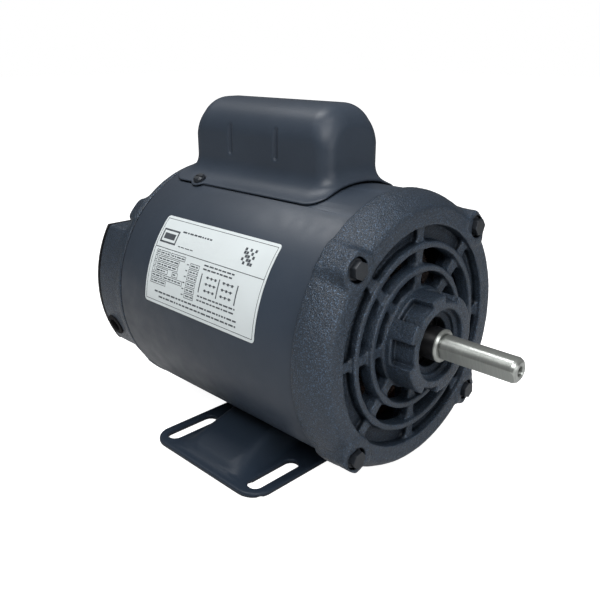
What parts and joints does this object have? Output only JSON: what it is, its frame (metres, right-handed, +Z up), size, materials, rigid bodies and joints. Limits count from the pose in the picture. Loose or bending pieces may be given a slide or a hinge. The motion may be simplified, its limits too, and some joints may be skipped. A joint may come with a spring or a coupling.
{
  "type": "electric motor",
  "caption": "Foot-mounted single-phase motor with a rolled shell, cast grille end shield, stepped shaft, slotted base and a capacitor hood on top.",
  "frame": {"origin": "centre of the four base slots on the mounting plane", "axes": "-Y along the shaft extension, +Z up, -X towards the nameplate side"},
  "size_m": [0.1658, 0.2492, 0.1888],
  "materials": {
    "shell_paint": "semi-matte charcoal paint",
    "cast_paint": "semi-matte paint on a sand casting",
    "black_cover": "black paint",
    "dark_fastener": "dark painted steel",
    "bright_steel": "turned",
    "bearing_steel": "ground",
    "zinc_steel": "zinc plated",
    "lamination": "stacked sheet edges",
    "cage_aluminium": "die cast",
    "copper_wire": "enamelled copper wire",
    "start_copper": "enamelled copper wire",
    "insulation_paper": "polyester slot paper",
    "phenolic": "phenolic board",
    "brass": "plain",
    "nylon": "natural nylon",
    "lead_red": "wire insulation",
    "lead_white": "wire insulation",
    "ground_green": "green screw",
    "rubber": "black rubber",
    "capacitor_shell": "black phenolic can",
    "label": "printed white film"
  },
  "bodies": {
    "stator": {"frame_shell": "shell_paint", "base_foot": "shell_paint", "drive_end_shield": "cast_paint", "rear_end_shield": "cast_paint", "through_bolts": "dark_fastener", "stator_core": "lamination", "slot_liners": "insulation_paper", "slot_wedges": "insulation_paper", "main_winding": "copper_wire", "start_winding": "start_copper", "drive_bearing_outer_ring": "bearing_steel", "drive_bearing_shields": "zinc_steel", "rear_bearing_outer_ring": "bearing_steel", "rear_bearing_shields": "zinc_steel", "wave_washer": "bright_steel", "switch_plate": "phenolic", "switch_plate_screws": "zinc_steel", "switch_arm_pin": "bright_steel", "fixed_contact": "brass", "terminal_board": "phenolic", "terminal_board_screws": "zinc_steel", "terminal_studs": "brass", "motor_leads": "lead_red", "ground_screw": "ground_green", "cable_grommet": "rubber", "terminal_cover": "black_cover", "terminal_cover_screws": "zinc_steel", "capacitor_can": "capacitor_shell", "capacitor_terminal_disc": "phenolic", "capacitor_tabs": "brass", "capacitor_cap": "rubber", "capacitor_pads": "rubber", "capacitor_leads": "lead_white", "capacitor_cover": "shell_paint", "capacitor_cover_screws": "dark_fastener", "nameplate": "label"},
    "rotor": {"shaft": "bright_steel", "rotor_core": "lamination", "rotor_cage": "cage_aluminium", "drive_bearing_inner_ring": "bearing_steel", "rear_bearing_inner_ring": "bearing_steel", "governor_base": "zinc_steel", "governor_pins": "bright_steel", "governor_spring": "bright_steel"},
    "drive_ball_set": {"drive_bearing_balls": "bearing_steel", "drive_bearing_cage": "brass"},
    "rear_ball_set": {"rear_bearing_balls": "bearing_steel", "rear_bearing_cage": "brass"},
    "upper_weight": {"governor_weight_upper": "zinc_steel"},
    "lower_weight": {"governor_weight_lower": "zinc_steel"},
    "spool": {"governor_spool": "nylon"},
    "switch_arm": {"switch_arm": "brass", "moving_contact": "brass"}
  },
  "joints": [
    {"name": "rotor_spin", "type": "hinge", "parent": "stator", "child": "rotor", "pos_m": [0, 0, 0.0762], "axis": [0, -1, 0], "continuous": true},
    {"name": "drive_balls_roll", "type": "hinge", "parent": "stator", "child": "drive_ball_set", "pos_m": [0, 0, 0.0762], "axis": [0, -1, 0], "continuous": true},
    {"name": "rear_balls_roll", "type": "hinge", "parent": "stator", "child": "rear_ball_set", "pos_m": [0, 0, 0.0762], "axis": [0, -1, 0], "continuous": true},
    {"name": "upper_weight_swing", "type": "hinge", "parent": "rotor", "child": "upper_weight", "pos_m": [0, 0.061, 0.0962], "axis": [-1, 0, 0], "range_deg": [0, 20]},
    {"name": "lower_weight_swing", "type": "hinge", "parent": "rotor", "child": "lower_weight", "pos_m": [0, 0.061, 0.0562], "axis": [1, 0, 0], "range_deg": [0, 20]},
    {"name": "spool_slide", "type": "slide", "parent": "rotor", "child": "spool", "axis": [0, -1, 0], "range_m": [0, 0.00266], "deforming": ["governor_spring"]},
    {"name": "switch_arm_swing", "type": "hinge", "parent": "stator", "child": "switch_arm", "pos_m": [0.038, 0.0712, 0.0892], "axis": [0, 0, 1], "range_deg": [0, 2.95]}
  ],
  "couplings": [
    {"joint": "drive_balls_roll", "follows": "rotor_spin", "ratio": 0.3818},
    {"joint": "rear_balls_roll", "follows": "rotor_spin", "ratio": 0.3812},
    {"joint": "lower_weight_swing", "follows": "upper_weight_swing", "ratio": 1},
    {"joint": "spool_slide", "follows": "upper_weight_swing", "m_per_rad": 0.0076},
    {"joint": "switch_arm_swing", "follows": "upper_weight_swing", "ratio": 0.145}
  ]
}
